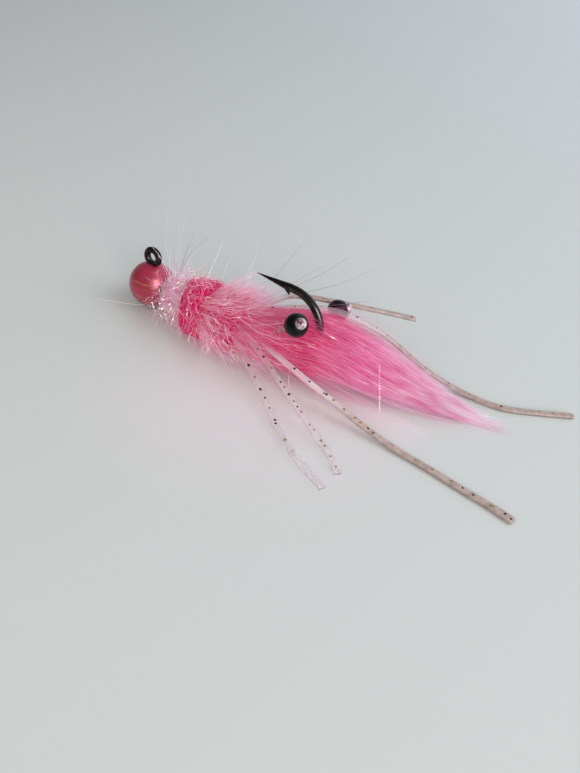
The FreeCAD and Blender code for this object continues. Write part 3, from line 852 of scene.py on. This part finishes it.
# Loose strands of flash that hang from the tail to the table, in millimetres
STRAY_FLASH = (
    ((30.2, 2.2, -1.6), (30.6, 1.9, -2.6), (31.4, 1.2, -4.4), (32.2, 0.5, -6.25)),
    ((24.6, -0.4, -4.6), (25.4, -1.9, -5.8), (26.4, -3.1, -6.27), (27.6, -4.4, -6.29)),
    ((21.4, -1.6, -4.6), (22.3, -2.8, -5.9), (23.6, -3.15, -6.28), (26.3, -2.55, -6.29),
     (29.9, -2.44, -6.29)),
)


def make_flash():
    """Glints: short curls of flash in the collar, over the dubbing and on the tail."""
    rng = np.random.default_rng(61)
    pearl = flash("flash_pearl", rgb(226, 240, 232), rgb(255, 226, 240))
    gold = flash("flash_gold", rgb(236, 214, 150), rgb(250, 240, 196))
    collar = rays(rng, 170, (2.6, 9.5), (1.9, 3.6), (0.2, 1.6), (0.2, 0.8), spread=0.5, steps=5)
    on_hook(ribbons("collar_glints", rng, collar, 0.12), pearl)
    bits = rays(rng, 60, (5.5, 15.0), (3.0, 3.3), (0.5, 2.0), (0.5, 1.8), spread=0.6, steps=5)
    on_hook(ribbons("dubbing_glints", rng, bits, 0.1), gold)
    count = 90
    whole, _ = tail_paths(rng, count, (1.0, 1.08), (0.5, 0.9), 0.1, 0.3, clumps=count, steps=60)
    first = rng.integers(8, 50, count)
    short = first[:, None] + np.arange(7)
    bright = np.take_along_axis(whole, short[..., None], axis=1)
    loose = np.array([through(line, np.linspace(0, 1, 20)) for line in STRAY_FLASH])
    tail_flash = (("tail_glints", bright, 0.14, gold), ("tail_strays", loose, 0.035, pearl))
    for name, paths, width, finish in tail_flash:
        piece = ribbons(name, rng, paths, width)
        piece.data.materials.append(finish)
        on_tail(piece)


# ---------------------------------------------------------------- stage

CAMERA_PLACE = (0.05495, -0.06583, 0.0470)
CAMERA_TURN_DEG = (52.85, -7.90, 33.21)
LENS_MM = 37.26
SENSOR_MM = 36.0


def make_camera():
    data = bpy.data.cameras.new("camera")
    data.lens = LENS_MM
    data.sensor_width = SENSOR_MM
    data.clip_start = 2 * MM
    camera = bpy.data.objects.new("camera", data)
    camera.location = CAMERA_PLACE
    camera.rotation_euler = [math.radians(a) for a in CAMERA_TURN_DEG]
    bpy.context.scene.collection.objects.link(camera)
    bpy.context.scene.camera = camera


def make_floor():
    mesh = bpy.data.meshes.new("floor")
    half = 1.5
    mesh.from_pydata([(-half, -half, FLOOR_Z), (half, -half, FLOOR_Z), (half, half, FLOOR_Z),
                      (-half, half, FLOOR_Z)], [], [(0, 1, 2, 3)])
    floor = bpy.data.objects.new("floor", mesh)
    bpy.context.scene.collection.objects.link(floor)
    made, tree, shader = material("floor", Base_Color=rgb(204, 205, 201), IOR=1.55)
    vary(tree, shader, "Roughness", noise(tree, 0.02, 2.0), (0.3, grey(0.14)), (0.7, grey(0.2)))
    mesh.materials.append(made)


def add_light(name, place, aim, size, power, colour, mirrored=False):
    """A rectangular light, in metres and watts.

    A mirrored one shows only as a highlight, and the table doesn't show it.
    """
    data = bpy.data.lights.new(name, "AREA")
    data.shape = "RECTANGLE"
    data.size, data.size_y = size
    data.energy = power
    data.color = colour
    light = bpy.data.objects.new(name, data)
    light.location = place
    light.visible_glossy = mirrored
    light.visible_diffuse = not mirrored
    light.visible_transmission = not mirrored
    light.visible_camera = False
    light.rotation_euler = (Vector(aim) - Vector(place)).to_track_quat("-Z", "Y").to_euler()
    bpy.context.scene.collection.objects.link(light)
    if mirrored:
        unlit = bpy.data.collections.new(name + "_unlit")
        unlit.objects.link(bpy.data.objects["floor"])
        light.light_linking.receiver_collection = unlit
        unlit.collection_objects[0].light_linking.link_state = "EXCLUDE"


def make_lights():
    world = bpy.data.worlds.new("world")
    bpy.context.scene.world = world
    world.use_nodes = True
    back = world.node_tree.nodes["Background"]
    way = node(world.node_tree, "TexCoord").outputs["Generated"]
    facing = node(world.node_tree, "VectorMath", [(0, way), (1, (0.8, 0.5, -0.3))], operation="DOT_PRODUCT")
    half = node(world.node_tree, "MapRange", [("Value", facing.outputs["Value"]), ("From Min", -1.0)])
    sky = ramp(world.node_tree, half.outputs["Result"], (0.28, rgb(124, 123, 121)),
               (0.64, rgb(232, 243, 255)))
    world.node_tree.links.new(sky, back.inputs["Color"])
    back.inputs["Strength"].default_value = 0.95
    middle = (0.03, 0.02, FLOOR_Z)
    white = (1.0, 1.0, 1.0)
    pink = (1.0, 0.25, 0.6)
    add_light("window", (0.42, 0.12, 0.36), middle, (0.4, 0.4), 1.35, (0.95, 0.98, 1.0))
    add_light("room", (-0.1, -0.3, 0.3), middle, (0.4, 0.4), 0.55, (1.0, 0.96, 0.92))
    add_light("front", (0.31, -0.26, 0.15), middle, (0.17, 0.17), 0.8, white)
    add_light("highlight", (0.382, -0.132, 0.15), middle, (0.24, 0.24), 2.9, (0.95, 0.95, 1.0), mirrored=True)
    # The light that the fluorescent dye throws on the table
    add_light("dye_glow", (0.021, -0.009, 0.003), (0.022, -0.012, FLOOR_Z), (0.024, 0.01), 0.0003, pink)
    add_light("dye_glow_tail", (0.0285, 0.0006, -0.0056), (0.0285, -0.0001, FLOOR_Z), (0.018, 0.003),
              0.00003, pink)
    bpy.context.scene.view_settings.view_transform = "Standard"


make_camera()
make_floor()
make_lights()
make_legs()
finish_cad()
make_tail()
make_dubbing()
make_collar()
make_hairs()
make_flash()
